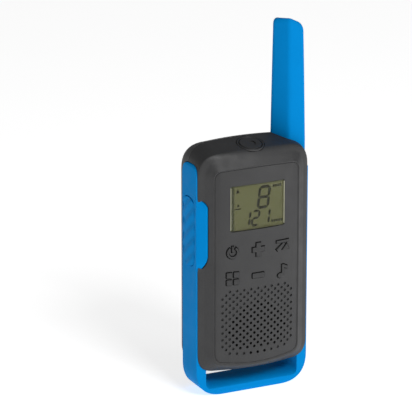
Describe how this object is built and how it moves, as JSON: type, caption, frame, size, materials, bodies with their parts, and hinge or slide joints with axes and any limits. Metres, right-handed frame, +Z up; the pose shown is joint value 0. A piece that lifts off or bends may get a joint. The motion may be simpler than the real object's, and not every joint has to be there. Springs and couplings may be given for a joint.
{
  "type": "hand-held two-way radio",
  "caption": "Compact walkie talkie with a fixed stub antenna, raised front keys, small display, speaker grille, side talk button, belt clip and a hand loop at its foot.",
  "frame": {"origin": "middle of the flat underside of the foot rail, midway between the front and back of the casing", "axes": "+Z up along the body towards the antenna, +X to the right of a person who looks at the front, -Y out of the front"},
  "size_m": [0.0589, 0.0372, 0.1782],
  "materials": {
    "charcoal": "fine satin texture",
    "panel": "smooth satin",
    "blue": "satin, slightly soft to the touch",
    "key": "matt",
    "window": "clear, polished",
    "lcd": "olive reflective display",
    "white_plastic": "plain moulded",
    "board": "solder mask over glass fibre",
    "rubber": "matt",
    "steel": "plated",
    "brass": "plain",
    "black_part": "plain moulded",
    "cone": "pressed film",
    "cell": "sleeved metal can"
  },
  "bodies": {
    "casing": {"front_housing": "charcoal", "rear_housing": "charcoal", "bumper_frame": "blue", "front_panel": "panel", "display_window": "window", "lcd_glass": "lcd", "lcd_holder": "white_plastic", "backlight_plate": "white_plastic", "main_board": "board", "key_mat": "rubber", "shield_can": "steel", "radio_chip": "black_part", "talk_switch": "black_part", "charging_socket": "steel", "headset_jack": "black_part", "top_switch": "black_part", "top_button_bezel": "charcoal", "speaker_seal": "rubber", "speaker_basket": "steel", "speaker_cone": "cone", "speaker_magnet": "steel", "microphone": "steel", "antenna_sleeve": "blue", "antenna_stub": "brass", "antenna_rod": "steel", "antenna_coil": "brass", "battery_cell_left": "cell", "battery_cell_middle": "cell", "battery_cell_right": "cell", "cell_spring_left": "steel", "cell_spring_middle": "steel", "cell_spring_right": "steel", "cell_contact_left": "brass", "cell_contact_middle": "brass", "cell_contact_right": "brass", "clip_bracket": "charcoal", "clip_pin": "steel", "clip_spring": "steel", "case_screw_1": "steel", "case_screw_2": "steel", "case_screw_3": "steel", "case_screw_4": "steel", "bracket_screw_1": "steel", "bracket_screw_2": "steel"},
    "power_key": {"power_key": "key"},
    "plus_key": {"plus_key": "key"},
    "scan_key": {"scan_key": "key"},
    "menu_key": {"menu_key": "key"},
    "minus_key": {"minus_key": "key"},
    "call_key": {"call_key": "key"},
    "talk_button": {"talk_button": "blue"},
    "top_button": {"top_button": "key"},
    "battery_cover": {"battery_cover": "charcoal"},
    "battery_latch": {"battery_latch": "key"},
    "belt_clip": {"belt_clip": "charcoal"},
    "port_cover": {"port_cover": "rubber"}
  },
  "joints": [
    {"name": "power_key_press", "type": "slide", "parent": "casing", "child": "power_key", "axis": [0, 1, 0], "range_m": [0, 0.0005], "stiffness_N_per_m": 2500},
    {"name": "plus_key_press", "type": "slide", "parent": "casing", "child": "plus_key", "axis": [0, 1, 0], "range_m": [0, 0.0005], "stiffness_N_per_m": 2500},
    {"name": "scan_key_press", "type": "slide", "parent": "casing", "child": "scan_key", "axis": [0, 1, 0], "range_m": [0, 0.0005], "stiffness_N_per_m": 2500},
    {"name": "menu_key_press", "type": "slide", "parent": "casing", "child": "menu_key", "axis": [0, 1, 0], "range_m": [0, 0.0005], "stiffness_N_per_m": 2500},
    {"name": "minus_key_press", "type": "slide", "parent": "casing", "child": "minus_key", "axis": [0, 1, 0], "range_m": [0, 0.0005], "stiffness_N_per_m": 2500},
    {"name": "call_key_press", "type": "slide", "parent": "casing", "child": "call_key", "axis": [0, 1, 0], "range_m": [0, 0.0005], "stiffness_N_per_m": 2500},
    {"name": "talk_button_press", "type": "slide", "parent": "casing", "child": "talk_button", "axis": [1, 0, 0], "range_m": [0, 0.0009], "stiffness_N_per_m": 3000},
    {"name": "top_button_press", "type": "slide", "parent": "casing", "child": "top_button", "axis": [0, 0.2367, -0.9716], "range_m": [0, 0.0006], "stiffness_N_per_m": 2500},
    {"name": "battery_cover_swing", "type": "hinge", "parent": "casing", "child": "battery_cover", "pos_m": [0, 0.014, 0.0175], "axis": [-1, 0, 0], "range_deg": [0, 75]},
    {"name": "battery_latch_slide", "type": "slide", "parent": "battery_cover", "child": "battery_latch", "axis": [0, 0, -1], "range_m": [0, 0.002]},
    {"name": "belt_clip_swing", "type": "hinge", "parent": "casing", "child": "belt_clip", "pos_m": [0, 0.0179, 0.105], "axis": [1, 0, 0], "range_deg": [0, 18], "stiffness_Nm_per_rad": 0.6, "springref_deg": -5.73},
    {"name": "port_cover_swing", "type": "hinge", "parent": "casing", "child": "port_cover", "pos_m": [0.0292, 0, 0.075], "axis": [0, 1, 0], "range_deg": [0, 100]}
  ]
}
